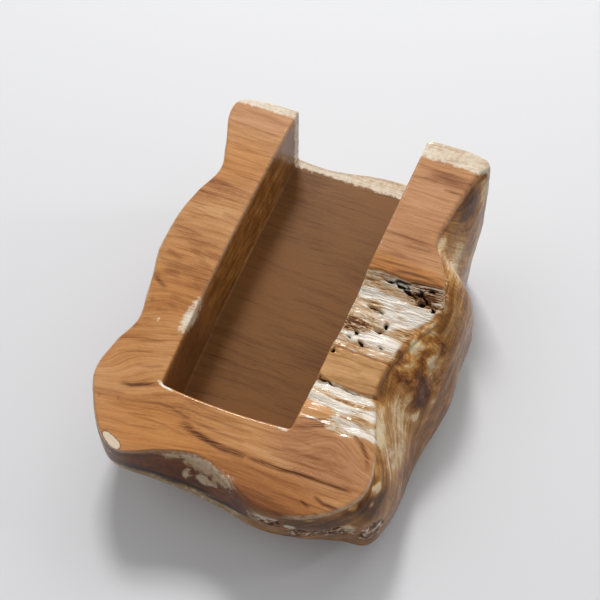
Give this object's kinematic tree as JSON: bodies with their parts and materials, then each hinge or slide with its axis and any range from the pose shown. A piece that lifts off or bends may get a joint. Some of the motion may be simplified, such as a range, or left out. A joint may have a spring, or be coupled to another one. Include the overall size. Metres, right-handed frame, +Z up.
{
  "type": "wine bottle coaster",
  "caption": "Live-edge root-wood cradle with a sloping planed top and an open-ended slot that holds a bottle on its side, neck raised.",
  "frame": {"origin": "on the table, under the middle of the block's outline", "axes": "+Z up, +Y along the bottle slot towards its open rear end, where the neck comes out, +X to the right as seen from the low front end"},
  "size_m": [0.2044, 0.2542, 0.118],
  "materials": {
    "root_wood": "lacquered, gloss",
    "felt": "matt felt"
  },
  "bodies": {
    "root": {"root_block": "root_wood", "pad_front_left": "felt", "pad_front_right": "felt", "pad_rear_left": "felt", "pad_rear_right": "felt"}
  },
  "joints": []
}
